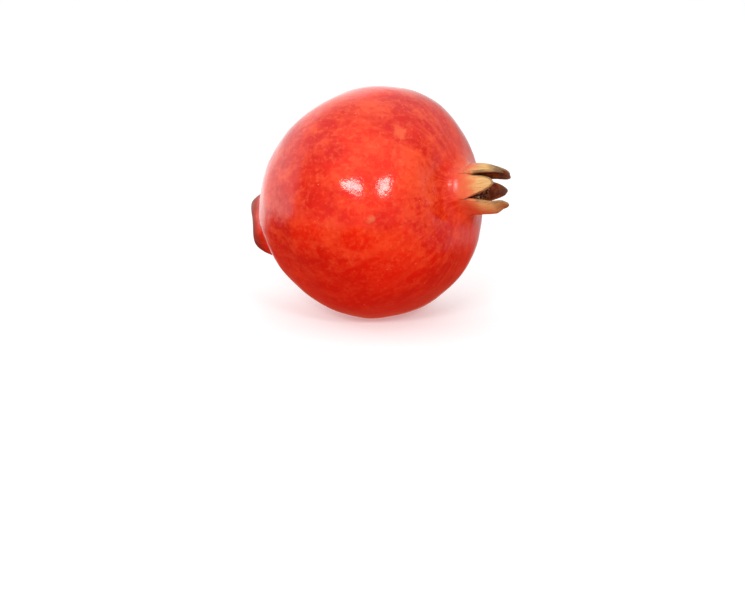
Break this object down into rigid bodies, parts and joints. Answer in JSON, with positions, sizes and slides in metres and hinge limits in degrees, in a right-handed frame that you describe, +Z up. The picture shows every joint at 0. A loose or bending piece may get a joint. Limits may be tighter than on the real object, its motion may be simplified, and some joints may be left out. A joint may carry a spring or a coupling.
{
  "type": "pomegranate",
  "caption": "Whole ripe pomegranate lying on its side, with a crown of sepals round dry stamens and a short woody stem stub.",
  "frame": {"origin": "middle of the small flat spot that the fruit rests on", "axes": "+Z up, +X towards the crown along the fruit's length, -Y towards the side that the picture shows most"},
  "size_m": [0.1101, 0.09, 0.0903],
  "materials": {
    "rind": "smooth waxy rind, semi-gloss, orange-red with flecks, tan to brown on the sepals",
    "stamen": "dry matt threads with paler tips",
    "stem_wood": "rough bark with a pale cut end"
  },
  "bodies": {
    "root": {"rind_with_crown": "rind", "stamens": "stamen", "stem_stub": "stem_wood"}
  },
  "joints": []
}
